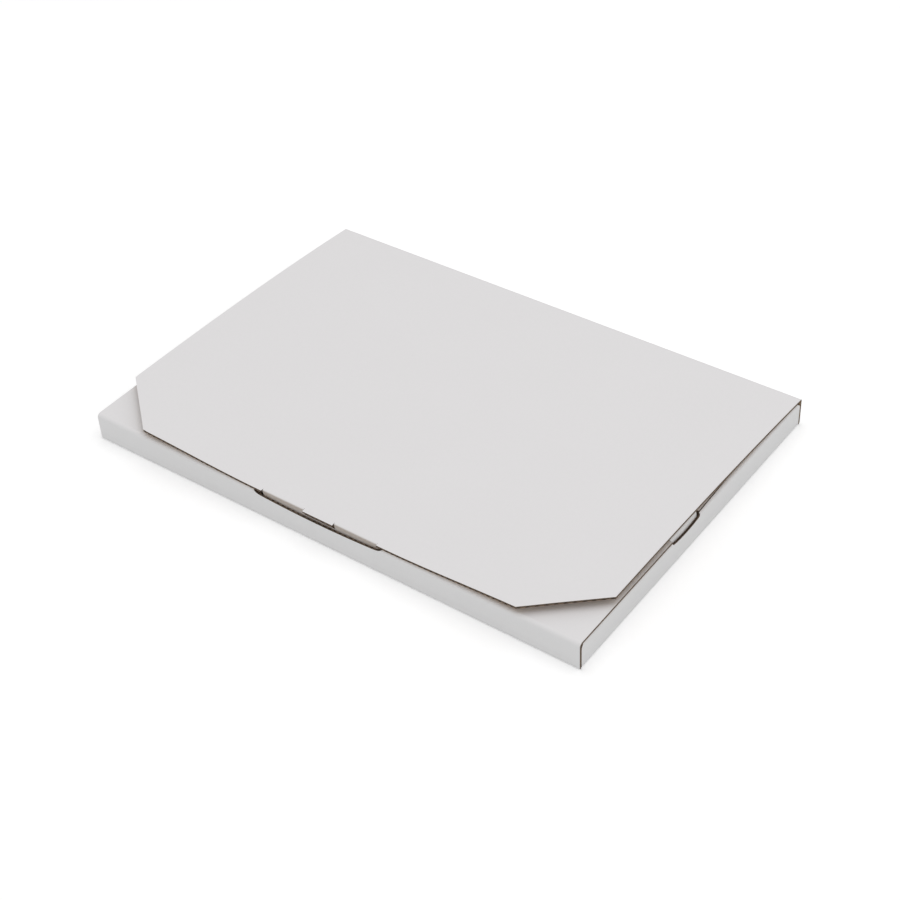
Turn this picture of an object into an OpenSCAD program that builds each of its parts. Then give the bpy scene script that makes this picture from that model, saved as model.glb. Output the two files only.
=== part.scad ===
// Flat mailer box, folded from one sheet of thin corrugated board.
// The tray carries a front flap with two ear tabs and two dust flaps. The lid
// hinges on the back wall, and its tongue locks in a slot in the front fold.
// X runs along the front wall, the front wall faces -Y, and Z is up.
// The origin is at the middle of the underside.

/* [Overall size] */
// Outside length, along the front wall
box_length = 350; // [240:1:420]
// Outside depth, from the front wall to the hinge edge
box_depth = 244; // [190:1:320]
// Height of the closed front flap above the table
box_height = 19; // [17:0.5:40]

/* [Board] */
// Thickness of the corrugated board
board = 1.5; // [1.2:0.1:2]
// Inside radius of every fold
fold_inner = 0.5; // [0.3:0.1:1]
// Air left between two plies that lie on each other
ply_gap = 0.2; // [0.1:0.05:0.4]
// Air between the end of a side wall and the wall that it meets
corner_gap = 0.3; // [0.2:0.05:0.6]
// Air between the back wall and the fold that carries the lid
hinge_gap = 0.15; // [0.1:0.05:0.3]

/* [Front flap] */
// Reach of the front flap over the tray
front_flap_reach = 124; // [90:1:150]
// Width of each ear tab, along the side wall
ear_width = 25.5; // [18:0.5:34]
// Stretch of flap behind each ear tab
ear_margin = 3; // [2:0.5:8]
// Air between an ear tab and the inside of the side wall
ear_clearance = 0.3; // [0.2:0.05:0.6]
// Air under an ear tab, down to the inside floor
ear_floor_gap = 5; // [3:0.5:7]
// Radius of the lower corners of an ear tab
ear_round = 4; // [2:0.5:5]
// Width of the cut that frees an ear tab from the flap
ear_slit = 0.8; // [0.5:0.1:1.2]

/* [Side slots] */
// Spare length of a side slot at each end of its ear tab
side_slot_spare = 1; // [0.5:0.1:2]
// Depth of a side slot below the side wall's top, at its middle
side_slot_depth = 2.9; // [2:0.1:4]
// Rise of the slot's lower edge from its middle to its ends
side_slot_sag = 0.8; // [0.4:0.1:1.2]
// Radius of the slot's lower corners
side_slot_round = 1.2; // [0.8:0.1:1.5]

/* [Dust flaps] */
// Reach of each dust flap over the tray
dust_flap_reach = 50; // [30:1:70]
// Length lost at each end of a dust flap, between its fold and its free edge
dust_flap_taper = 12; // [4:1:20]

/* [Lid] */
// Length of a cut lid corner, along the front edge
lid_corner_front = 40; // [20:1:50]
// Length of a cut lid corner, along the side edge
lid_corner_side = 35; // [20:1:50]
// Rise of the bowed lid above its hinge edge, at its sides
lid_bow = 6; // [3:0.5:10]
// Distance from the hinge at which the bow is full
lid_bow_reach = 207; // [150:1:230]
// How steeply the bow leaves the hinge
lid_bow_power = 2.5; // [2:0.1:3]
// Distance from the hinge at which the tongue starts to pull the lid down
pull_start = 90; // [60:1:110]
// Length over which the front edge rises beside the tongue
pull_fade = 115; // [80:1:160]

/* [Tongue and front slot] */
// Width of the tongue
tongue_width = 83; // [60:1:90]
// Width of the tab in the middle that stays level with the lid
tab_width = 22; // [14:1:30]
// Width of the cuts beside the tab and the tongue
tongue_slit = 0.8; // [0.5:0.1:1.2]
// Air between the tongue and the inside of the front wall
tongue_clearance = 0.5; // [0.4:0.05:0.8]
// Air behind the tongue, to the edge of the front flap
tongue_back_gap = 0.9; // [0.6:0.1:1.5]
// Air under the tongue, down to the inside floor
tongue_floor_gap = 4.5; // [3:0.5:7]
// Radius of the tongue's lower corners
tongue_round = 8; // [4:0.5:9]
// Spare width of the front slot at each end of the tongue
slot_spare = 6; // [3:0.5:8]
// Depth of the front slot below the front flap's top, at its middle
slot_depth = 4; // [3:0.1:5]
// Rise of the slot's lower edge from its middle to its ends
slot_sag = 1.75; // [1:0.05:2]
// Radius of the slot's lower corners
slot_round = 1.5; // [1:0.1:2]

/* [Hidden] */

// Facets of a fold, and steps along each half of a slot's lower edge
fold_facets = 48;
slot_steps = 24;
// Steps of the lid's surface from the hinge to the tongue's fold, beside the
// tongue, across a cut corner, round the tongue's corners, round its fold and
// round the hinge edge
depth_steps = 20;
side_steps = 10;
corner_steps = 3;
round_steps = 6;
bend_steps = 5;
hinge_steps = 6;
// Cutters reach this far past what they cut
overrun = 1;

fold_outer = fold_inner + board;
front = -box_depth / 2;
back = box_depth / 2;

// Dust flaps and side walls end one gap under the front flap
side_height = box_height - board - ply_gap;
back_height = box_height - board - hinge_gap;
side_run = box_depth - 2 * (board + corner_gap);

// An ear tab hangs inside the side wall
ear_start = front_flap_reach - ear_margin - ear_width;
ear_inset = board + ear_clearance;
ear_fold_x = box_length / 2 - ear_inset - fold_outer;
ear_low = board + ear_floor_gap;
side_slot_width = ear_width + 2 * side_slot_spare;
side_slot_reach = ear_inset + fold_outer;

// The tongue hangs inside the front wall
tongue_inset = board + tongue_clearance;
tongue_low = board + tongue_floor_gap;
lid_front_top = box_height + ply_gap + board;
tongue_fold_y = front + tongue_inset + fold_outer;
tongue_fold_z = lid_front_top - fold_outer;
slot_width = tongue_width + 2 * slot_spare;
slot_reach = tongue_inset + board + tongue_back_gap;

// The tab is cut out of the tongue, which leaves a notch as deep
fold_length = PI / 2 * (fold_inner + board / 2);
notch_low = tongue_fold_z - (tongue_inset + fold_outer - fold_length);
tongue_side = tongue_width / 2;
tab_side = tab_width / 2;

// The lid turns about the middle of the board at the back wall's top
hinge_y = back - board / 2;
hinge_z = box_height - board / 2;
lid_run = hinge_y - front;
pull_down = box_height + lid_bow - lid_front_top;
// The lid is level over the tongue, as far to each side as its cuts
pull_level = tongue_side + tongue_slit;
level_run = tongue_inset + fold_outer;

// Quarter ring of board round a fold
module fold_ring() {
    intersection() {
        difference() {
            circle(r = fold_outer, $fn = fold_facets);
            circle(r = fold_inner, $fn = fold_facets);
        }
        square(fold_outer);
    }
}

// Wall that rises from the bottom, with X as the distance in from its face
module wall_profile(height) {
    translate([fold_outer, fold_outer])
        rotate(180)
        fold_ring();
    translate([0, fold_outer])
        square([board, height - fold_outer]);
}

// Wall whose top folds inwards into a flap
module flap_profile(height, reach) {
    wall_profile(height - fold_outer);
    translate([fold_outer, height - fold_outer])
        rotate(90)
        fold_ring();
    translate([fold_outer, height - board])
        square([reach - fold_outer, board]);
}

// Tab that folds down from a level sheet, with its fold centred on X = 0
module hanging_profile(fold_z, low, lead) {
    translate([0, fold_z])
        fold_ring();
    translate([fold_inner, low])
        square([board, fold_z - low]);
    translate([-lead, fold_z + fold_inner])
        square([lead, board]);
}

// Height of a slot's lower edge at x: a shallow bow that turns up at its corners
function slot_low(x, width, sag, corner) =
    let (past = min(max(abs(x) - width / 2 + corner, 0), corner))
    sag * pow(2 * x / width, 2) + corner - sqrt(corner * corner - past * past);

// Half-moon of a slot, with its lower edge at Y = 0 in the middle
module moon_profile(width, sag, corner, tall) {
    low_edge = [
        for (i = [-slot_steps : slot_steps])
            let (x = width / 2 * sin(90 * i / slot_steps))
            [x, slot_low(x, width, sag, corner)]
    ];
    polygon(concat(low_edge, [[width / 2, tall], [-width / 2, tall]]));
}

// Tab outline with rounded lower corners, with its lower edge at Y = 0
module tab_profile(width, tall, corner) {
    translate([corner - width / 2, 0])
        square([width - 2 * corner, tall]);
    translate([-width / 2, corner])
        square([width, tall - corner]);
    for (side = [-1, 1])
        translate([side * (width / 2 - corner), corner])
        circle(r = corner, $fn = fold_facets);
}

// Height of a tab's lower edge at x, which turns up at its rounded corners
function tab_low(x, width, corner) =
    let (past = min(max(abs(x) - width / 2 + corner, 0), corner))
    corner - sqrt(corner * corner - past * past);

// Extrudes a profile along X, with the profile's X along +Y
module along_x(length) {
    translate([-length / 2, 0, 0])
        rotate([90, 0, 90])
        linear_extrude(length)
        children();
}

// Extrudes a profile along Y, between two places
module along_y(from, to) {
    translate([0, to, 0])
        rotate([90, 0, 0])
        linear_extrude(to - from)
        children();
}

// Half-moon slot through the top fold of the front wall
module front_slot() {
    along_y(front - overrun, front + slot_reach)
        translate([0, box_height - slot_depth])
        moon_profile(slot_width, slot_sag, slot_round, slot_depth + overrun);
}

// Room beside an ear tab, cut out of the front flap's rear corner
module ear_notch() {
    translate([ear_fold_x, front + ear_start - ear_slit, box_height - board - overrun])
        cube([side_slot_reach + overrun, front_flap_reach, board + 2 * overrun]);
}

// Ear tab at the right-hand side of the front flap
module ear_tab() {
    intersection() {
        along_y(front + ear_start, front + ear_start + ear_width)
            translate([ear_fold_x, 0])
            hanging_profile(box_height - fold_outer, ear_low, overrun);
        translate([0, front + ear_start + ear_width / 2, 0])
            along_x(box_length)
            translate([0, ear_low])
            tab_profile(ear_width, box_height, ear_round);
    }
}

// Front wall with its flap, which reaches over half of the tray
module front_wall() {
    difference() {
        translate([0, front, 0])
            along_x(box_length)
            flap_profile(box_height, front_flap_reach);
        front_slot();
        for (side = [0, 1])
            mirror([side, 0, 0])
            ear_notch();
    }
    for (side = [0, 1])
        mirror([side, 0, 0])
        ear_tab();
}

module back_wall() {
    translate([0, back, 0])
        mirror([0, 1, 0])
        along_x(box_length)
        wall_profile(back_height);
}

// Side wall at the left, with its dust flap tapered at both ends
module side_wall() {
    difference() {
        along_y(-side_run / 2, side_run / 2)
            translate([-box_length / 2, 0])
            flap_profile(side_height, dust_flap_reach);
        for (end = [0, 1])
            mirror([0, end, 0])
            dust_flap_cut();
        side_slot();
    }
}

// Wedge cut from the end of a dust flap
module dust_flap_cut() {
    translate([fold_outer - box_length / 2, -side_run / 2, side_height - board - ply_gap])
        linear_extrude(board + 2 * ply_gap)
        polygon([
            [0, -overrun],
            [dust_flap_reach, -overrun],
            [dust_flap_reach, dust_flap_taper],
            [dust_flap_reach - fold_outer, dust_flap_taper],
            [0, 0]
        ]);
}

// Half-moon slot through the top fold of a side wall, for an ear tab
module side_slot() {
    translate([
        (side_slot_reach - box_length - overrun) / 2,
        front + ear_start + ear_width / 2,
        side_height - side_slot_depth
    ])
        along_x(side_slot_reach + overrun)
        moon_profile(side_slot_width, side_slot_sag, side_slot_round,
            side_slot_depth + overrun);
}

module bottom() {
    translate([fold_outer - box_length / 2, front + fold_outer, 0])
        cube([box_length - 2 * fold_outer, box_depth - 2 * fold_outer, board]);
}

module tray() {
    color("whitesmoke") {
        bottom();
        front_wall();
        back_wall();
        for (side = [0, 1])
            mirror([side, 0, 0])
            side_wall();
    }
}

// Share of a smooth step that is done at t, which runs from 0 to 1
function smooth_step(t) = (1 - cos(180 * min(max(t, 0), 1))) / 2;

// Share of the full bow at a distance from the hinge
function bow_share(u) = 1 - pow(1 - min(u / lid_bow_reach, 1), lid_bow_power);

// Share of the tongue's pull, along and across the lid
function pull_along(u) =
    smooth_step((u - pull_start) / (lid_run - level_run - pull_start));
function pull_across(x) = 1 - smooth_step((abs(x) - pull_level) / pull_fade);

// Height of the lid's top face
function lid_top(x, u) = box_height + lid_bow * bow_share(u)
    - pull_down * pull_along(u) * pull_across(x);

// Distance from the hinge to the lid's free edge, shorter at the cut corners
function lid_edge(x) = lid_run - lid_corner_side / lid_corner_front
    * max(0, abs(x) - (box_length / 2 - lid_corner_front));

// Even steps from one place to another, without the last
function stations(from, to, steps) = [
    for (i = [0 : steps - 1])
        from + (to - from) * i / steps
];

// A front end has as many points above as below: round the bend, at the top of
// the tab's notch and at the free edge
end_steps = bend_steps + 2;

// Places across the right half of the lid at which a section is taken, with
// the form of its front end. A cut has two sections at the same place.
corner_x = box_length / 2 - lid_corner_front;
half_stations = concat(
    [[tab_side, "edge"], [tab_side, "slit"]],
    [[tab_side + tongue_slit, "slit"], [tab_side + tongue_slit, "tongue"]],
    [
        for (i = [0 : round_steps])
            [tongue_side - tongue_round * (1 - sin(90 * i / round_steps)), "tongue"]
    ],
    [[tongue_side, "slit"], [pull_level, "slit"]],
    [for (x = stations(pull_level, corner_x, side_steps)) [x, "edge"]],
    [for (x = stations(corner_x, box_length / 2, corner_steps)) [x, "edge"]],
    [[box_length / 2, "edge"]]
);
lid_stations = concat(
    [for (s = reverse(half_stations)) [-s[0], s[1]]],
    half_stations
);

// Line over the lid's top face at x, from the hinge to the tongue's fold
function lid_line(x, offset) =
    let (run = lid_edge(x) - level_run)
    [
        for (i = [0 : depth_steps])
            let (u = run * i / depth_steps)
            [x, hinge_y - u, lid_top(x, u) + offset]
    ];

// Front end of a section that runs on to the lid's free edge
function edge_end(x) =
    let (
        run = lid_edge(x) - level_run,
        top = [
            for (i = [1 : end_steps])
                let (u = run + level_run * i / end_steps)
                [x, hinge_y - u, lid_top(x, u)]
        ],
        under = [for (p = reverse(top)) p - [0, 0, board]]
    )
    concat(top, under);

// Front end of a section that stops at the tongue's fold
function slit_end(x) = [
    for (i = [1 : 2 * end_steps])
        [x, tongue_fold_y, lid_front_top - board * i / (2 * end_steps + 1)]
];

// Front end of a section that folds down into the tongue
function tongue_end(x) =
    let (
        low = tongue_low + tab_low(x, tongue_width, tongue_round),
        y = front + tongue_inset
    )
    concat(
        bend(x, fold_outer),
        [[x, y, notch_low], [x, y, low], [x, y + board, low], [x, y + board, notch_low]],
        reverse(bend(x, fold_inner))
    );

// Points round the tongue's fold, from the lid down to the tongue
function bend(x, radius) = [
    for (i = [1 : bend_steps])
        let (a = 90 + 90 * i / bend_steps)
        [x, tongue_fold_y + radius * cos(a), tongue_fold_z + radius * sin(a)]
];

function front_end(x, form) =
    form == "edge" ? edge_end(x) : form == "slit" ? slit_end(x) : tongue_end(x);

// One section of the lid: along its top, round its front end, back under it and
// round the hinge edge
function lid_section(x, form) = concat(
    lid_line(x, 0),
    front_end(x, form),
    reverse(lid_line(x, -board)),
    [
        for (i = [1 : hinge_steps - 1])
            let (a = 180 * i / hinge_steps - 90)
            [x, hinge_y + board / 2 * cos(a), hinge_z + board / 2 * sin(a)]
    ]
);

// A list in the opposite order
function reverse(list) = [
    for (i = [len(list) - 1 : -1 : 0])
        list[i]
];

// Where a point of a section is listed. The two sections of a cut share the
// points that lie outside the front end.
end_from = depth_steps;
end_to = end_from + 2 * end_steps + 1;
ring = end_to + depth_steps + hinge_steps;
function is_cut(i) = i > 0 && lid_stations[i][0] == lid_stations[i - 1][0];
function in_end(j) = j > end_from && j < end_to;
function at(i, j) =
    let (k = j % ring)
    (is_cut(i) && !in_end(k) ? i - 1 : i) * ring + k;

// Skin between two sections
function skin(i) = [
    for (j = [0 : ring - 1])
        each [
            [at(i - 1, j), at(i, j), at(i - 1, j + 1)],
            [at(i - 1, j + 1), at(i, j), at(i, j + 1)]
        ]
];

// Two triangles of a section's flat face, between one pair of points and the next
// of its upper and its under side, for a face that looks left
function face_step(i, j, last) = [
    [at(i, j), at(i, j + 1), at(i, last - j)],
    [at(i, j + 1), at(i, last - j - 1), at(i, last - j)]
];

// Flat face of a whole section, with the half round of the hinge edge
section_last = 2 * depth_steps + 2 * end_steps + 1;
function end_face(i) = concat(
    [
        for (j = [0 : depth_steps + end_steps - 1])
            each face_step(i, j, section_last)
    ],
    [concat([at(i, 0)], [for (j = [section_last : ring - 1]) at(i, j)])]
);

// Flat face of a cut, where section i goes on past section slit. The tongue's
// lower part runs on behind the tab, so it has no face there.
function cut_face(i, slit) =
    let (
        behind_tab = lid_stations[i][1] == "tongue" && abs(lid_stations[i][0]) < tongue_side,
        steps = behind_tab ? end_steps - 1 : end_steps
    )
    concat(
        [for (j = [1 : steps - 1]) each face_step(i, end_from + j, section_last)],
        [[at(i, end_from + 1), at(i, end_to - 1), at(i, end_to)]],
        [
            for (j = [end_from : end_to - 1])
                [at(i, end_from + 1), at(slit, j + 1), at(slit, j)]
        ]
    );

// The same faces, seen from the other side
function turned(faces) = [for (f = faces) reverse(f)];

// Faces between section i and the one before it
function faces_before(i) =
    !is_cut(i) ? skin(i)
    : lid_stations[i][1] == "slit" ? turned(cut_face(i - 1, i))
    : cut_face(i, i - 1);

// The tongue's lower part between its two halves, behind the tab
function bridge(left, right) = [
    for (j = [0 : 3])
        let (
            a = end_from + bend_steps + 1 + j,
            b = end_from + bend_steps + 1 + (j + 1) % 4
        )
        [at(left, a), at(right, a), at(right, b), at(left, b)]
];

// Bowed lid with its tab and its tongue, lofted through its sections
module lid() {
    last = len(lid_stations) - 1;
    inner_right = len(half_stations) + 3;
    points = [
        for (s = lid_stations)
            each lid_section(s[0], s[1])
    ];
    color("white")
        polyhedron(points, concat(
            [for (i = [1 : last]) each faces_before(i)],
            bridge(last - inner_right, inner_right),
            end_face(0),
            turned(end_face(last))
        ));
}

tray();
lid();
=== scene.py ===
import math

import bmesh
import bpy
from mathutils import Matrix, Vector


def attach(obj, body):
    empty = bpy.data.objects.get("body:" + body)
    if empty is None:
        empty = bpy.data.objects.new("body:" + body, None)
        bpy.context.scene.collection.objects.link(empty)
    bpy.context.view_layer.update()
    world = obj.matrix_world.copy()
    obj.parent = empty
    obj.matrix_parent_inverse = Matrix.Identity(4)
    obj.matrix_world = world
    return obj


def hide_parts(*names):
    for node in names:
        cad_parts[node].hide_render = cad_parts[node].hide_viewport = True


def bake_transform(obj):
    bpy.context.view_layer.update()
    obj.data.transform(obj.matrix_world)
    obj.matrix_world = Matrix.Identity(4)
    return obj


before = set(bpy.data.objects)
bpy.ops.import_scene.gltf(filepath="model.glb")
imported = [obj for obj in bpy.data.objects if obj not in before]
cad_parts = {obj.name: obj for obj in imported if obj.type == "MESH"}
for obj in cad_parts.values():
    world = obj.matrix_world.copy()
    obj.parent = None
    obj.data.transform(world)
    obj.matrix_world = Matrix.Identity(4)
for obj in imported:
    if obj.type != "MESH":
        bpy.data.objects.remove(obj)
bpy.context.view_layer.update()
scene = bpy.context.scene
mm = 0.001
hair = 1e-6                          # millimetres, within which two places are one

# the view the photograph was taken from
view = {
    "azimuth": 38.289, "elevation": 39.903, "roll": -3.383,
    "lens": 71.93,
    "aim": (0, -122, 0),            # middle of the front wall's foot
    "aimRight": -73.184, "aimUp": -54.104, "distance": 1025.911,
}


def makeCamera():
    a, e, r = (math.radians(view[k]) for k in ("azimuth", "elevation", "roll"))
    right = Vector((math.cos(a), math.sin(a), 0))
    back = Vector((math.sin(a) * math.cos(e), -math.cos(a) * math.cos(e), math.sin(e)))
    up = back.cross(right)
    right, up = right * math.cos(r) + up * math.sin(r), up * math.cos(r) - right * math.sin(r)
    place = Vector(view["aim"]) - right * view["aimRight"] - up * view["aimUp"] + back * view["distance"]
    data = bpy.data.cameras.new("camera")
    data.lens = view["lens"]
    data.sensor_width = 36
    data.sensor_fit = "HORIZONTAL"
    data.clip_start = 0.01
    camera = bpy.data.objects.new("camera", data)
    camera.matrix_world = Matrix.Translation(place * mm) @ Matrix((right, up, back)).transposed().to_4x4()
    scene.collection.objects.link(camera)
    scene.camera = camera


makeCamera()
print("camera placed")

# the box as it is set up, in millimetres
box = {
    "length": 350, "depth": 244, "height": 19,
    "thick": 1.5,                    # board
    "footRadius": 1.1,               # outside of the folds round the bottom
    "arcSteps": 6,
    "crush": 0.6,                    # what a sharp fold leaves of the board's thickness
    "crushFade": 2.0,
    "weld": 1e-4,                    # points of neighbouring rectangles this close are joined
    "sharpAngle": 40,
}
frontArm = {
    "height": 19, "topRadius": 2.6, "footRadius": 1.1,
    "slotMiddle": -2.4, "slotHalf": 47.2, "slotLow": 15.0, "slotSag": 1.75,
    "slotRound": 6, "slotLift": 0.37, "slotSteps": 14,
    "slotReach": 4.4, "reach": 157,
    "earFold": 171.2, "earOut": 173.2, "earFrom": 94.2, "earTo": 122.6, "earSlit": 0.8,
    "earLow": 6.5, "earRound": 4, "earColumns": 10, "earBend": 6, "earSteps": 8,
    "pastEar": 0.9, "pastTaper": 0.037,          # how far the flap's side draws in behind its ear
    "flapRows": 10, "pastRows": 4,
}
sideArm = {
    "height": 17.3, "topRadius": 2.2, "footRadius": 1.1, "halfRun": 120.2,
    "slotMiddle": -12.9, "slotHalf": 15.1, "slotLow": 14.2, "slotSag": 1.3,
    "slotRound": 1.7, "slotLift": 1, "slotSteps": 10,
    "slotReach": 3.8, "reach": 50, "taper": 12, "taperFrom": 100, "flapRows": 8,
    "relief": 2.6, "reliefFrom": 14.6,           # cut-back of the wall's upper corners
}
backArm = {
    "height": 19, "topRadius": 1.1, "footRadius": 1.1, "stop": 13.0,
    "lean": 0.293,                   # the middle of the top bend, in from its corner, per radius
    "partingStep": 0.01,
}
lidForm = {
    "joinY": 116,                    # where the crease strip hands over to the lid
    "hingeY": 121.25, "run": 243.25,
    "bow": 6, "bowReach": 207, "bowPower": 2.5,
    "pullStart": 90, "pullFade": 115, "frontTop": 20.7,
    "cornerFront": 40, "cornerSide": 35,
    "tongueMiddle": -0.8, "tongueHalf": 41.7, "tabHalf": 10.9, "slit": 0.2,
    "tabOver": 0.35, "tabDroop": 0.45,
    "foldY": -120.1, "foldRadius": 1.0, "foldTurn": 103, "tongueLow": 6, "tongueRound": 8,
    "bodyRows": 48, "endRows": 12, "bendRows": 8, "crush": 0.75,
    "shadeWearFrom": 0.35, "shadeWearOver": 1.3,             # turn of the fold over which painted shade, partly crease wear, darkens the white
    "shadeWearLoss": 0.85, "shadeWearLow": 2.2, "shadeWearFade": 3,        # and how the painted shade eases off below the fold
}


def smoothStep(t):
    return (1 - math.cos(math.pi * min(max(t, 0), 1))) / 2


def spread(start, stop, steps):
    return [start + (stop - start) * k / steps for k in range(steps + 1)]


def chain(*parts):                   # joins runs of stations that share their ends
    out = list(parts[0])
    for part in parts[1:]:
        out += part[1:]
    return out


def eased(middle, half, steps):      # stations that crowd towards both ends
    return [middle + half * math.sin(math.pi / 2 * k / steps) for k in range(-steps, steps + 1)]


# a side of the box, followed over its outer face from the bottom's edge
def armPoint(arm, s):
    foot, top = arm["footRadius"], arm["topRadius"]
    low = foot * math.pi / 2
    wall = arm["height"] - foot - top
    if s <= low:
        a = s / foot
        return foot * (1 - math.sin(a)), foot * (1 - math.cos(a))
    s -= low
    if s <= wall:
        return 0.0, foot + s
    s -= wall
    if s <= top * math.pi / 2:
        a = s / top
        return top * (1 - math.cos(a)), arm["height"] - top + top * math.sin(a)
    return top + s - top * math.pi / 2, arm["height"]


def armAtHeight(arm, z):
    foot, top = arm["footRadius"], arm["topRadius"]
    s = foot * math.pi / 2
    if z <= arm["height"] - top:
        return s + z - foot
    return s + arm["height"] - foot - top + top * math.asin((z - arm["height"] + top) / top)


def armAtInset(arm, inset):
    foot, top = arm["footRadius"], arm["topRadius"]
    return (foot + top) * math.pi / 2 + arm["height"] - foot - 2 * top + inset


def roundLow(d, half, radius):       # rise of a rounded end above a straight lower edge
    past = min(max(abs(d) - half + radius, 0), radius)
    return radius - math.sqrt(radius * radius - past * past)


def slotCut(arm, d):                 # where a slot cuts a side, d off the slot's middle
    half = arm["slotHalf"]
    z = arm["slotLow"] + arm["slotSag"] * min(abs(d) / half, 1) ** 2
    return armAtHeight(arm, z + arm["slotLift"] * roundLow(min(abs(d), half), half, arm["slotRound"]))


def armStations(arm, flap):
    foot = arm["footRadius"] * math.pi / 2
    bend = armAtHeight(arm, arm["height"] - arm["topRadius"])
    cut = slotCut(arm, arm["slotHalf"])
    toCut = chain(spread(0, foot, box["arcSteps"]), spread(foot, bend, 6), spread(bend, cut, 5))
    beyond = chain(spread(cut, armAtInset(arm, arm["topRadius"]), 6),
                   spread(armAtInset(arm, arm["topRadius"]), armAtInset(arm, arm["slotReach"]), 2))
    return toCut, beyond, [armAtInset(arm, inset) for inset in flap]


def armShift(arm, s, d, cut):        # a station moved down so that the rows follow the slot's lower edge
    foot = arm["footRadius"] * math.pi / 2
    if s <= foot or s > cut or abs(d) > arm["slotHalf"]:
        return s
    return foot + (s - foot) * (slotCut(arm, d) - foot) / (cut - foot)


def crushed(s, arm):                 # share of the board's thickness, next to an arm's sharp folds
    foot = arm["footRadius"] * math.pi / 2
    away = max(-s, s - foot, 0)
    if arm is backArm:
        away = min(away, max(armAtHeight(arm, arm["height"] - arm["topRadius"]) - s,
                             s - armAtInset(arm, arm["topRadius"]), 0))
    return box["crush"] + (1 - box["crush"]) * min(away / box["crushFade"], 1)


# one rectangle of the sheet; place gives a point, its spot on the flat blank, its thickness and its painted
# shade with crease wear
def addSheet(bm, columns, rows, place, keep=None):
    blank = bm.verts.layers.float_vector.get("blank") or bm.verts.layers.float_vector.new("blank")
    full = bm.verts.layers.deform.verify()
    shadedAndWorn = bm.verts.layers.float.get("shadedAndWorn") or bm.verts.layers.float.new("shadedAndWorn")
    made = bmesh.ops.create_grid(bm, x_segments=columns, y_segments=rows, size=0.5)["verts"]
    cells = {face for vert in made for face in vert.link_faces}
    gone = []
    for face in cells:
        middle = face.calc_center_median()
        if keep and not keep(int((middle.x + 0.5) * columns), int((middle.y + 0.5) * rows)):
            gone.append(face)
    for vert in made:
        point, flat, thick, *shadeAndWear = place(round((vert.co.x + 0.5) * columns), round((vert.co.y + 0.5) * rows))
        vert.co = Vector(point) * mm
        vert[blank] = (flat[0] * mm, flat[1] * mm, 0)
        vert[full][0] = thick
        vert[shadedAndWorn] = shadeAndWear[0] if shadeAndWear else 0
    bmesh.ops.delete(bm, geom=gone, context="FACES")


def thicken(name, bm, materials):    # white outside, kraft inside, cut edges round the rim
    bmesh.ops.remove_doubles(bm, verts=bm.verts, dist=box["weld"] * mm)
    for face in bm.faces:
        face.smooth = True
    mesh = bpy.data.meshes.new(name)
    bm.to_mesh(mesh)
    bm.free()
    outer = len(mesh.vertices)
    for material in materials:
        mesh.materials.append(material)
    raw = bpy.data.objects.new(name + "Sheet", mesh)
    scene.collection.objects.link(raw)
    raw.vertex_groups.new(name="fullBoard")
    solid = raw.modifiers.new("board", "SOLIDIFY")
    solid.vertex_group = "fullBoard"
    solid.thickness = box["thick"] * mm
    solid.offset = -1
    solid.use_even_offset = True
    solid.material_offset = 1
    solid.material_offset_rim = 2
    solidMesh = bpy.data.meshes.new_from_object(raw.evaluated_get(bpy.context.evaluated_depsgraph_get()))
    bpy.data.objects.remove(raw)
    solidMesh.name = name
    piece = bpy.data.objects.new(name, solidMesh)
    scene.collection.objects.link(piece)
    blank = solidMesh.attributes["blank"].data
    for k in range(outer, len(solidMesh.vertices)):
        x, y, _ = blank[k].vector
        blank[k].vector = (x, y, 1)  # third number: 0 on the outer face, 1 on the inner
    solidMesh.set_sharp_from_angle(angle=math.radians(box["sharpAngle"]))
    return piece


# the board's three faces
finish = {
    "edge": (0.24, 0.175, 0.13),
    "shadeAndWear": (0.59, 0.52, 0.455),       # painted shade in the tongue's fold recess, partly crease wear: what the fold keeps of the white
    "flutePitch": 3.8,
    "plyShare": 0.13,                # thickness of a liner, as a share of the board
    "fluteHalf": 0.12,               # half a flute's own thickness, as the same share
    "hollowShade": 0.28,                  # painted shade in the hollows between the flutes, as a share of the paper's tone
    "fluteShade": 0.35,
    "cloudScale": 18, "fibreScale": 900, "fibreStretch": (1, 0.35, 1), "cutFibreScale": 1400,
    "fibreTone": (0.5, 0.75),        # contrast of the fibre and its lowest tone
    "fibreHeight": 0.5,
    "specular": 0.3,
    "bump": {"Strength": 0.35, "Distance": 0.00006},
    "edgeRoughness": 0.9, "edgeSpecular": 0.2,
    "edgeBump": {"Strength": 0.8, "Distance": 0.0003},
}
liners = {
    "whiteLiner": {
        "colour": (0.772, 0.758, 0.763), "roughness": 0.55,
        "mottling": 0.02, "fibre": 0.03, "washboard": 0.35,
    },
    "kraftLiner": {
        "colour": (0.54, 0.385, 0.25), "roughness": 0.8,
        "mottling": 0.12, "fibre": 0.25, "washboard": 0.8,
    },
}


def newMaterial(name):
    material = bpy.data.materials.new(name)
    material.use_nodes = True
    tree = material.node_tree
    shader = tree.nodes["Principled BSDF"]
    return material, tree, shader


def addNode(tree, kind, inputs=None, **settings):
    made = tree.nodes.new(kind)
    for key, value in settings.items():
        setattr(made, key, value)
    for key, value in (inputs or {}).items():
        made.inputs[key].default_value = value
    return made


def combine(tree, operation, a, b=None):
    made = addNode(tree, "ShaderNodeMath", operation=operation)
    for k, value in enumerate((a, b)):
        if value is None:
            continue
        if isinstance(value, (int, float)):
            made.inputs[k].default_value = value
        else:
            tree.links.new(value, made.inputs[k])
    return made.outputs[0]


def attribute(tree, name):
    return addNode(tree, "ShaderNodeAttribute", attribute_name=name, attribute_type="GEOMETRY")


def blankPlace(tree):                # where a point lies on the flat, uncut board
    return attribute(tree, "blank").outputs["Vector"]


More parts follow.
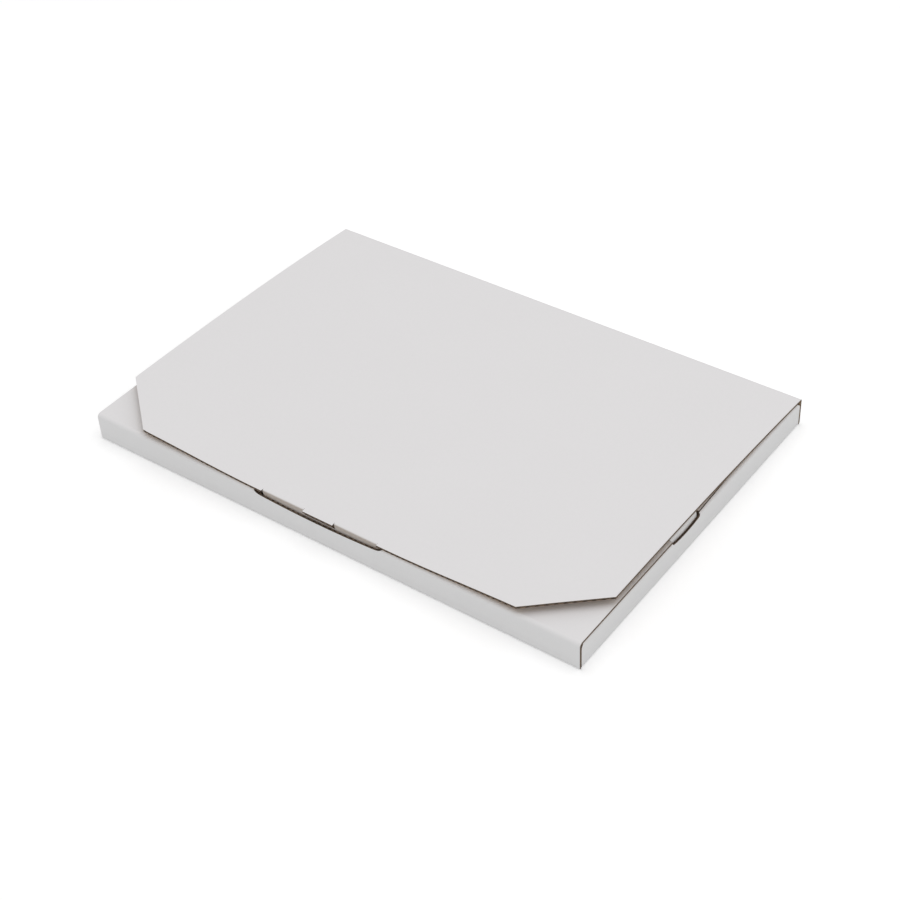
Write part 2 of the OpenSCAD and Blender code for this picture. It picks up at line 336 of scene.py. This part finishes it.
def noise(tree, vector, scale, detail, stretch=None):
    if stretch:
        mapping = addNode(tree, "ShaderNodeMapping", {"Scale": stretch})
        tree.links.new(vector, mapping.inputs["Vector"])
        vector = mapping.outputs["Vector"]
    made = addNode(tree, "ShaderNodeTexNoise", {"Scale": scale, "Detail": detail})
    tree.links.new(vector, made.inputs["Vector"])
    return made.outputs["Fac"]


def fluteWave(tree, vector):         # -1 to 1 across the flutes, which run from front to back
    apart = addNode(tree, "ShaderNodeSeparateXYZ")
    tree.links.new(vector, apart.inputs[0])
    turns = combine(tree, "MULTIPLY", apart.outputs["X"], 2 * math.pi / (finish["flutePitch"] * mm))
    return combine(tree, "SINE", turns), apart.outputs["Z"]


def scaled(tree, value, factor, plus):
    return combine(tree, "ADD", combine(tree, "MULTIPLY", value, factor), plus)


def aroundZero(tree, value, amount):
    return combine(tree, "MULTIPLY", combine(tree, "SUBTRACT", value, 0.5), amount)


def linerMaterial(name):                 # white or kraft paper, with the flutes showing through a little
    liner = liners[name]
    material, tree, shader = newMaterial(name)
    place = blankPlace(tree)
    cloud = noise(tree, place, finish["cloudScale"], 3)
    fine = noise(tree, place, finish["fibreScale"], 4, stretch=finish["fibreStretch"])
    wave, _ = fluteWave(tree, place)
    clouding = aroundZero(tree, cloud, liner["mottling"])
    fibre = aroundZero(tree, fine, liner["fibre"])
    tone = combine(tree, "ADD", combine(tree, "ADD", clouding, fibre), 1)
    # painted shade in the tongue's fold recess, partly crease wear, mixes the paper towards the darker tone
    shadeAndWearShare = attribute(tree, "shadedAndWorn").outputs["Fac"]
    shadeAndWearShare = combine(tree, "MULTIPLY", shadeAndWearShare, scaled(tree, fine, *finish["fibreTone"]))
    paper = addNode(tree, "ShaderNodeMix", data_type="RGBA", clamp_factor=True)
    paper.inputs[6].default_value = (*liner["colour"], 1)
    paper.inputs[7].default_value = (*(c * r for c, r in zip(liner["colour"], finish["shadeAndWear"])), 1)
    tree.links.new(shadeAndWearShare, paper.inputs[0])
    tinted = addNode(tree, "ShaderNodeVectorMath", operation="SCALE")
    tree.links.new(paper.outputs[2], tinted.inputs[0])
    tree.links.new(tone, tinted.inputs["Scale"])
    tree.links.new(tinted.outputs[0], shader.inputs["Base Color"])
    shader.inputs["Roughness"].default_value = liner["roughness"]
    shader.inputs["Specular IOR Level"].default_value = finish["specular"]
    height = scaled(tree, wave, liner["washboard"], combine(tree, "MULTIPLY", fine, finish["fibreHeight"]))
    bump = addNode(tree, "ShaderNodeBump", finish["bump"])
    tree.links.new(height, bump.inputs["Height"])
    tree.links.new(bump.outputs[0], shader.inputs["Normal"])
    return material


def edgeMaterial(name):              # a cut edge, with its two liners and the flute between them; the hollows and the curve of each flute get painted shade
    material, tree, shader = newMaterial(name)
    place = blankPlace(tree)
    wave, ply = fluteWave(tree, place)
    middle = scaled(tree, wave, 0.5 - finish["plyShare"], 0.5)
    offFlute = combine(tree, "ABSOLUTE", combine(tree, "SUBTRACT", ply, middle))
    onFlute = combine(tree, "LESS_THAN", offFlute, finish["fluteHalf"])
    offMiddle = combine(tree, "ABSOLUTE", combine(tree, "SUBTRACT", ply, 0.5))
    onLiner = combine(tree, "GREATER_THAN", offMiddle, 0.5 - finish["plyShare"])
    paper = combine(tree, "MAXIMUM", onFlute, onLiner)
    fine = noise(tree, place, finish["cutFibreScale"], 3)
    ramp = scaled(tree, fine, *finish["fibreTone"])
    ramp = combine(tree, "MULTIPLY", ramp, scaled(tree, wave, finish["fluteShade"], 1))
    share = combine(tree, "MULTIPLY", scaled(tree, paper, 1 - finish["hollowShade"], finish["hollowShade"]), ramp)
    tinted = addNode(tree, "ShaderNodeVectorMath", operation="SCALE")
    tinted.inputs[0].default_value = finish["edge"]
    tree.links.new(share, tinted.inputs["Scale"])
    tree.links.new(tinted.outputs[0], shader.inputs["Base Color"])
    shader.inputs["Roughness"].default_value = finish["edgeRoughness"]
    shader.inputs["Specular IOR Level"].default_value = finish["edgeSpecular"]
    bump = addNode(tree, "ShaderNodeBump", finish["edgeBump"])
    tree.links.new(paper, bump.inputs["Height"])
    tree.links.new(bump.outputs[0], shader.inputs["Normal"])
    return material


boardFaces = [linerMaterial("whiteLiner"), linerMaterial("kraftLiner"), edgeMaterial("cutEdge")]
print("materials made")


# the tray, one cross-shaped blank, folded up on its four sides
def makeTray():
    half = box["length"] / 2
    foldX = half - box["footRadius"]
    foldY = box["depth"] / 2 - box["footRadius"]
    front, side = frontArm, sideArm
    slotXs = eased(front["slotMiddle"], front["slotHalf"], front["slotSteps"])
    ear = front["earFold"]
    middleXs = chain(spread(-ear, slotXs[0], 14), slotXs, spread(slotXs[-1], ear, 14))
    slotYs = eased(side["slotMiddle"], side["slotHalf"], side["slotSteps"])
    lip = box["crushFade"]
    middleYs = chain([-foldY, lip - foldY], spread(lip - foldY, slotYs[0], 10), slotYs,
                     spread(slotYs[-1], foldY - lip, 12), [foldY - lip, foldY])
    earMiddle = (front["earFrom"] + front["earTo"]) / 2
    earHalf = (front["earTo"] - front["earFrom"]) / 2
    earYs = eased(earMiddle, earHalf, front["earSteps"])
    before, past = front["earFrom"] - front["earSlit"], front["earTo"] + front["earSlit"]
    flapYs = chain(spread(front["slotReach"], before, front["flapRows"]), [before, front["earFrom"]],
                   earYs, [front["earTo"], past], spread(past, front["reach"], front["pastRows"]))
    frontCut, frontBeyond, frontFlap = armStations(front, flapYs)
    frontS = chain(frontCut, frontBeyond, frontFlap)
    dustXs = spread(side["slotReach"], side["reach"], side["flapRows"])
    sideCut, sideBeyond, sideFlap = armStations(side, dustXs)
    sideS = chain(sideCut, sideBeyond, sideFlap)
    backS = chain(spread(0, backArm["footRadius"] * math.pi / 2, box["arcSteps"]),
                  spread(backArm["footRadius"] * math.pi / 2, armAtHeight(backArm, backArm["stop"]), 3))
    wing = front["earColumns"]
    armCols = len(sideS) - 1
    columns = 2 * armCols + 2 * wing + len(middleXs) - 1
    rows = len(frontS) - 1 + len(middleYs) - 1 + len(backS) - 1
    firstMiddle = armCols + wing
    lastMiddle = firstMiddle + len(middleXs) - 1
    firstRow = len(frontS) - 1
    lastRow = firstRow + len(middleYs) - 1
    frontHole = (firstRow - (len(frontCut) - 1) - (len(frontBeyond) - 1), firstRow - (len(frontCut) - 1))
    sideHole = (len(sideCut) - 1, len(sideCut) - 1 + len(sideBeyond) - 1)
    earTo = front["pastRows"] + 1                          # rows from the flap's free end
    earFrom = earTo + len(earYs) - 1

    def overX(i, end):               # a column between the two side arms, which reach to end
        if i < firstMiddle:
            return -ear - (end - ear) * (firstMiddle - i) / wing
        if i > lastMiddle:
            return ear + (end - ear) * (i - lastMiddle) / wing
        return middleXs[i - firstMiddle]

    def place(i, j):
        if i < armCols or i > columns - armCols:          # side wall with its dust flap
            right = i > columns - armCols
            s = sideS[i - (columns - armCols) if right else armCols - i]
            y = middleYs[min(max(j, firstRow), lastRow) - firstRow] * side["halfRun"] / foldY
            moved = armShift(side, s, y - side["slotMiddle"], sideCut[-1])
            inset, z = armPoint(side, moved)
            over = max(inset - side["slotReach"], 0) / (side["reach"] - side["slotReach"])
            if abs(y) > side["taperFrom"]:
                room = side["halfRun"] - side["taperFrom"]
                lost = (z - side["reliefFrom"]) / (side["height"] - side["reliefFrom"])
                lost = side["relief"] * smoothStep(lost)
                share = (room - max(side["taper"] * over, lost)) / room
                y = math.copysign(side["taperFrom"] + (abs(y) - side["taperFrom"]) * share, y)
            sign = 1 if right else -1
            return (sign * (half - inset), y, z), (sign * (foldX + moved), y), crushed(moved, side)
        if j < firstRow:                                   # front wall with its flap and ears
            s = frontS[firstRow - j]
            x = overX(i, half)
            moved = armShift(front, s, x - front["slotMiddle"], frontCut[-1])
            inset, z = armPoint(front, moved)
            if j < earTo:
                x = overX(i, half - front["pastEar"] - front["pastTaper"] * (inset - past))
            point, flat = (x, inset - box["depth"] / 2, z), (x, -foldY - moved)
            if abs(x) > ear + hair and earTo <= j <= earFrom:
                n = firstMiddle - i if i < firstMiddle else i - lastMiddle
                sign = 1 if x > 0 else -1
                bend = front["earOut"] - ear
                low = front["earLow"] + roundLow(inset - earMiddle, earHalf, front["earRound"])
                if n <= front["earBend"]:
                    a = math.pi / 2 * n / front["earBend"]
                    outX, z = ear + bend * math.sin(a), front["height"] - bend * (1 - math.cos(a))
                    run = bend * a
                else:
                    t = (n - front["earBend"]) / (wing - front["earBend"])
                    outX, z = front["earOut"], front["height"] - bend - (front["height"] - bend - low) * t
                    run = bend * math.pi / 2 + (front["height"] - bend - low) * t
                point, flat = (sign * outX, point[1], z), (sign * (ear + run), flat[1])
            return point, flat, crushed(moved, front)
        if j > lastRow:                                    # back wall
            s = backS[j - lastRow]
            inset, z = armPoint(backArm, s)
            x = overX(i, half)
            return (x, box["depth"] / 2 - inset, z), (x, foldY + s), crushed(s, backArm)
        x, y = overX(i, foldX), middleYs[j - firstRow]
        return (x, y, 0), (x, y), crushed(-min(foldX - abs(x), foldY - abs(y)), side)

    def keep(i, j):
        inSide = i < armCols or i >= columns - armCols
        inMiddleRows = firstRow <= j < lastRow
        if inSide:
            if not inMiddleRows:
                return False
            k = armCols - 1 - i if i < armCols else i - (columns - armCols)
            y = (middleYs[j - firstRow] + middleYs[j - firstRow + 1]) / 2
            return not (sideHole[0] <= k < sideHole[1] and abs(y - side["slotMiddle"]) < side["slotHalf"])
        if j < firstRow:
            if frontHole[0] <= j < frontHole[1] and firstMiddle <= i < lastMiddle:
                x = (middleXs[i - firstMiddle] + middleXs[i - firstMiddle + 1]) / 2
                return abs(x - front["slotMiddle"]) > front["slotHalf"]
            if i < firstMiddle or i >= lastMiddle:
                return j != earTo - 1 and j != earFrom
        return True

    bm = bmesh.new()
    addSheet(bm, columns, rows, place, keep)
    bmesh.ops.reverse_faces(bm, faces=bm.faces)
    tray = thicken("boxTray", bm, boardFaces)
    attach(tray, "tray")
    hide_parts("tray")


makeTray()
print("tray folded")


# the lid, bowed and held down by its tongue
def lidTop(x, u):
    f = lidForm
    bow = 1 - (1 - min(u / f["bowReach"], 1)) ** f["bowPower"]
    level = f["hingeY"] - f["foldY"]
    along = smoothStep((u - f["pullStart"]) / (level - f["pullStart"]))
    across = 1 - smoothStep((abs(x) - f["tongueHalf"] - f["slit"]) / f["pullFade"])
    pull = box["height"] + f["bow"] - f["frontTop"]
    return box["height"] + f["bow"] * bow - pull * along * across


def backBlank():                     # flat distance from the middle to the hinge line
    return box["depth"] / 2 - box["footRadius"] + armAtInset(backArm, box["depth"] / 2 - lidForm["hingeY"])


def makeLid():
    f = lidForm
    half = box["length"] / 2
    cornerX = half - f["cornerFront"]
    tab, tongue, slit = f["tabHalf"], f["tongueHalf"], f["slit"]
    roundXs = [tongue - f["tongueRound"] * (1 - math.sin(math.pi / 2 * k / 8)) for k in range(9)]
    halfXs = chain(spread(0, tab, 4), [tab, tab + slit], spread(tab + slit, roundXs[0], 6), roundXs,
                   [tongue, tongue + slit], spread(tongue + slit, cornerX, 22), spread(cornerX, half, 8))
    xs = [-x for x in reversed(halfXs[1:])] + halfXs
    xs = [x + f["tongueMiddle"] * min(1, (half - abs(x)) / (half - tongue)) for x in xs]
    bodyRows = f["bodyRows"]
    start = f["hingeY"] - f["joinY"]
    level = f["run"] - (f["hingeY"] - f["foldY"])          # from the tongue's fold to the front edge
    columns, rows = len(xs) - 1, bodyRows + f["endRows"]
    tabXs = [x for x in xs if abs(x - f["tongueMiddle"]) <= tab + hair]

    def stopAt(x):                                         # where the lid proper ends at x
        return f["run"] - f["cornerSide"] / f["cornerFront"] * max(0, abs(x) - cornerX) - level

    def flatEnd(x, n, over=0, droop=0):                    # on towards the free edge, level with the lid
        u = stopAt(x) + (level + over) * n / f["endRows"]
        return (x, f["hingeY"] - u, lidTop(x, u) - droop * n / f["endRows"]), (x, backBlank() + u), 1

    def place(i, j):
        k = rows - j                                       # counted from the hinge side
        x, n = xs[i], k - bodyRows
        off = abs(x - f["tongueMiddle"])
        if n <= 0:
            u = start + (stopAt(x) - start) * k / bodyRows
            return (x, f["hingeY"] - u, lidTop(x, u)), (x, backBlank() + u), 1
        if off > tongue + hair:
            return flatEnd(x, n)
        radius, turn = f["foldRadius"], math.radians(f["foldTurn"])
        a = turn * min(n / f["bendRows"], 1)
        y, z = f["foldY"] - radius * math.sin(a), f["frontTop"] - radius + radius * math.cos(a)
        run = 0
        if n > f["bendRows"]:                              # the tongue leans in, off the front wall
            low = f["tongueLow"] + roundLow(off, tongue, f["tongueRound"])
            run = (z - low) / math.sin(turn) * (n - f["bendRows"]) / (f["endRows"] - f["bendRows"])
            y, z = y - run * math.cos(turn), z - run * math.sin(turn)
        # painted shade down the tongue's fold into the slot, partly crease wear, easing off lower down the
        # tongue
        shadeAndWear = smoothStep((a - f["shadeWearFrom"]) / f["shadeWearOver"])
        shadeAndWear *= 1 - f["shadeWearLoss"] * smoothStep((run - f["shadeWearLow"]) / f["shadeWearFade"])
        return (x, y, z), (x, backBlank() + stopAt(x) + radius * a + run), f["crush"] if run == 0 else 1, shadeAndWear

    def keep(i, j):                                        # cuts beside the tongue, notch left by the tab
        off = abs((xs[i] + xs[i + 1]) / 2 - f["tongueMiddle"])
        n = rows - 1 - j - bodyRows
        besideTongue = n >= 0 and tongue < off < tongue + slit
        underTab = 0 <= n <= f["bendRows"] and off < tab + slit
        return not (besideTongue or underTab)

    bm = bmesh.new()
    addSheet(bm, columns, rows, place, keep)
    addSheet(bm, len(tabXs) - 1, f["endRows"],
             lambda i, j: flatEnd(tabXs[i], f["endRows"] - j, f["tabOver"], f["tabDroop"]))
    lid = thicken("boxLid", bm, boardFaces)
    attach(lid, "lid")
    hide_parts("lid")


makeLid()
print("lid bowed")


# the crease, the board that bends between the back wall and the lid
def makeCrease():
    half = box["length"] / 2
    foot = armAtHeight(backArm, backArm["stop"])
    bend = armAtHeight(backArm, backArm["height"] - backArm["topRadius"])
    top = armAtInset(backArm, backArm["topRadius"])
    join = armAtInset(backArm, box["depth"] / 2 - lidForm["joinY"])
    stations = chain(spread(foot, bend, 5), spread(bend, top, 3), spread(top, join, 4))
    xs = spread(-half, half, 70)

    def place(i, j):
        s = stations[j]
        inset, z = armPoint(backArm, s)
        y = box["depth"] / 2 - inset
        if s > bend:
            lift = lidTop(xs[i], max(lidForm["hingeY"] - y, 0)) - box["height"]
            z += lift * min((s - bend) / (top - bend), 1)
        return (xs[i], y, z), (xs[i], box["depth"] / 2 - box["footRadius"] + s), crushed(s, backArm)

    bm = bmesh.new()
    addSheet(bm, len(xs) - 1, len(stations) - 1, place)
    bmesh.ops.reverse_faces(bm, faces=bm.faces)
    crease = thicken("lidCrease", bm, boardFaces)
    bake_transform(crease)


makeCrease()
print("crease made")


# the studio
studio = {
    "sky": 0.72,
    "top": {"size": 1.6, "place": (0.12, 0.1, 1.5), "power": 6.2},
    "floorHalf": 4, "floorDrop": 0.0001,
    "floorBounce": (0.9, 0.925, 0.918),         # what the floor gives back to the box
    "floorSeen": (0.95, 0.95, 0.95),            # its own tone to the camera, under the glow
    "floorGlow": 0.175,
    "floorRoughness": 0.9, "floorSpecular": 0.1,
}


def makeStudio():
    world = bpy.data.worlds.new("studio")
    scene.world = world
    world.use_nodes = True
    tree = world.node_tree
    tree.nodes.clear()
    out = addNode(tree, "ShaderNodeOutputWorld")
    sky = addNode(tree, "ShaderNodeBackground", {"Color": (1, 1, 1, 1), "Strength": studio["sky"]})
    white = addNode(tree, "ShaderNodeBackground", {"Color": (1, 1, 1, 1), "Strength": 1})
    path = addNode(tree, "ShaderNodeLightPath")
    mix = addNode(tree, "ShaderNodeMixShader")
    tree.links.new(path.outputs["Is Camera Ray"], mix.inputs[0])
    tree.links.new(sky.outputs[0], mix.inputs[1])
    tree.links.new(white.outputs[0], mix.inputs[2])
    tree.links.new(mix.outputs[0], out.inputs[0])

    top = studio["top"]
    lamp = bpy.data.lights.new("softTop", "AREA")
    lamp.shape = "DISK"
    lamp.size = top["size"]
    lamp.energy = top["power"]
    lampObject = bpy.data.objects.new("softTop", lamp)
    lampObject.location = top["place"]
    lampObject.rotation_euler = (-lampObject.location).to_track_quat("-Z", "Y").to_euler()
    scene.collection.objects.link(lampObject)

    bm = bmesh.new()
    bmesh.ops.create_grid(bm, x_segments=2, y_segments=2, size=studio["floorHalf"])
    mesh = bpy.data.meshes.new("floor")
    bm.to_mesh(mesh)
    bm.free()
    floor = bpy.data.objects.new("floor", mesh)
    floor.location.z = -studio["floorDrop"]
    scene.collection.objects.link(floor)
    material, tree, shader = newMaterial("paleFloor")
    shader.inputs["Roughness"].default_value = studio["floorRoughness"]
    shader.inputs["Specular IOR Level"].default_value = studio["floorSpecular"]
    path = addNode(tree, "ShaderNodeLightPath")
    shader.inputs["Emission Color"].default_value = (1, 1, 1, 1)
    tones = {6: (*studio["floorBounce"], 1), 7: (*studio["floorSeen"], 1)}
    tone = addNode(tree, "ShaderNodeMix", tones, data_type="RGBA")
    tree.links.new(path.outputs["Is Camera Ray"], tone.inputs[0])
    tree.links.new(tone.outputs[2], shader.inputs["Base Color"])
    glow = combine(tree, "MULTIPLY", path.outputs["Is Camera Ray"], studio["floorGlow"])
    tree.links.new(glow, shader.inputs["Emission Strength"])
    mesh.materials.append(material)


makeStudio()
scene.view_settings.view_transform = "Standard"
print("studio lit")

bpy.context.view_layer.update()
